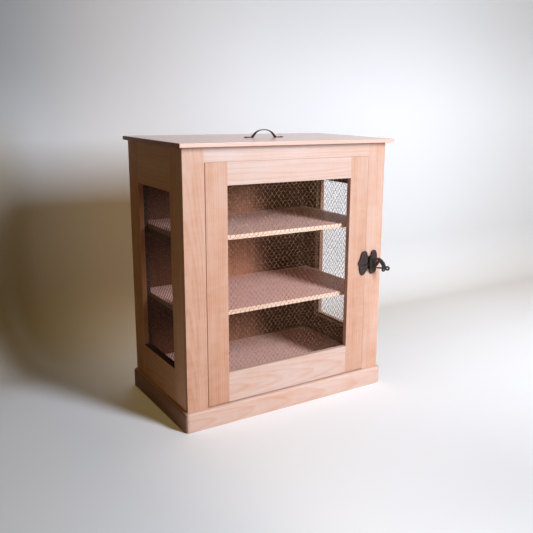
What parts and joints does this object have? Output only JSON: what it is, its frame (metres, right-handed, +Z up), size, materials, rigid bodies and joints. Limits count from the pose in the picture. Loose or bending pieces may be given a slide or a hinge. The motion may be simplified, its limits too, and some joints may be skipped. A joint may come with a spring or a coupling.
{
  "type": "counter-top food safe",
  "caption": "Low wooden food safe with a netted door, netted side windows, shelves inside, a lift handle on the top and a cast hasp latch.",
  "frame": {"origin": "floor level, at the middle of the overall width and depth, the latch lever included", "axes": "+Z up, the door faces -Y, its hinge side is at -X and the latch at +X"},
  "size_m": [0.628, 0.403, 0.7305],
  "materials": {
    "stile_wood": "bare sanded hardwood, upright grain",
    "rail_wood": "bare sanded hardwood, level grain",
    "board_wood": "bare sanded hardwood boards",
    "batten_wood": "bare sanded hardwood strip",
    "netting": "galvanised wire",
    "latch_iron": "rough dark cast iron",
    "handle_bronze": "dark oil-rubbed bronze",
    "screw_steel": "plain steel",
    "pivot_brass": "turned brass"
  },
  "bodies": {
    "case": {"top_board": "board_wood", "back_panel": "board_wood", "bottom_board": "board_wood", "upper_shelf": "board_wood", "lower_shelf": "board_wood", "left_front_stile": "stile_wood", "left_back_stile": "stile_wood", "left_top_rail": "rail_wood", "left_bottom_rail": "rail_wood", "right_front_stile": "stile_wood", "right_back_stile": "stile_wood", "right_top_rail": "rail_wood", "right_bottom_rail": "rail_wood", "face_left_stile": "stile_wood", "face_right_stile": "stile_wood", "face_top_rail": "rail_wood", "face_bottom_rail": "rail_wood", "plinth_front": "rail_wood", "plinth_back": "rail_wood", "plinth_left": "rail_wood", "plinth_right": "rail_wood", "left_net": "netting", "left_front_batten": "batten_wood", "left_back_batten": "batten_wood", "left_top_batten": "batten_wood", "left_bottom_batten": "batten_wood", "right_net": "netting", "right_front_batten": "batten_wood", "right_back_batten": "batten_wood", "right_top_batten": "batten_wood", "right_bottom_batten": "batten_wood", "top_cleats": "batten_wood", "upper_shelf_cleats": "batten_wood", "lower_shelf_cleats": "batten_wood", "bottom_cleats": "batten_wood", "top_screws": "screw_steel", "cleat_screws": "screw_steel", "door_stop": "batten_wood", "upper_pivot_pin": "pivot_brass", "lower_pivot_pin": "pivot_brass", "pivot_washer": "pivot_brass", "lift_handle": "handle_bronze", "handle_screws": "handle_bronze", "latch_case_wing": "latch_iron", "latch_pin": "latch_iron", "case_wing_screws": "latch_iron"},
    "door": {"door_left_stile": "stile_wood", "door_right_stile": "stile_wood", "door_top_rail": "rail_wood", "door_bottom_rail": "rail_wood", "door_net": "netting", "door_left_batten": "batten_wood", "door_right_batten": "batten_wood", "door_top_batten": "batten_wood", "door_bottom_batten": "batten_wood", "pivot_bushes": "pivot_brass", "latch_keeper": "latch_iron", "keeper_screws": "latch_iron"},
    "latch": {"latch_lever": "latch_iron"}
  },
  "joints": [
    {"name": "door_swing", "type": "hinge", "parent": "case", "child": "door", "pos_m": [-0.2275, -0.1471, 0.35], "axis": [0, 0, -1], "range_deg": [0, 110]},
    {"name": "latch_swing", "type": "hinge", "parent": "case", "child": "latch", "pos_m": [0.256, -0.16145, 0.367], "axis": [0, 0, -1], "range_deg": [-40, 135]}
  ]
}
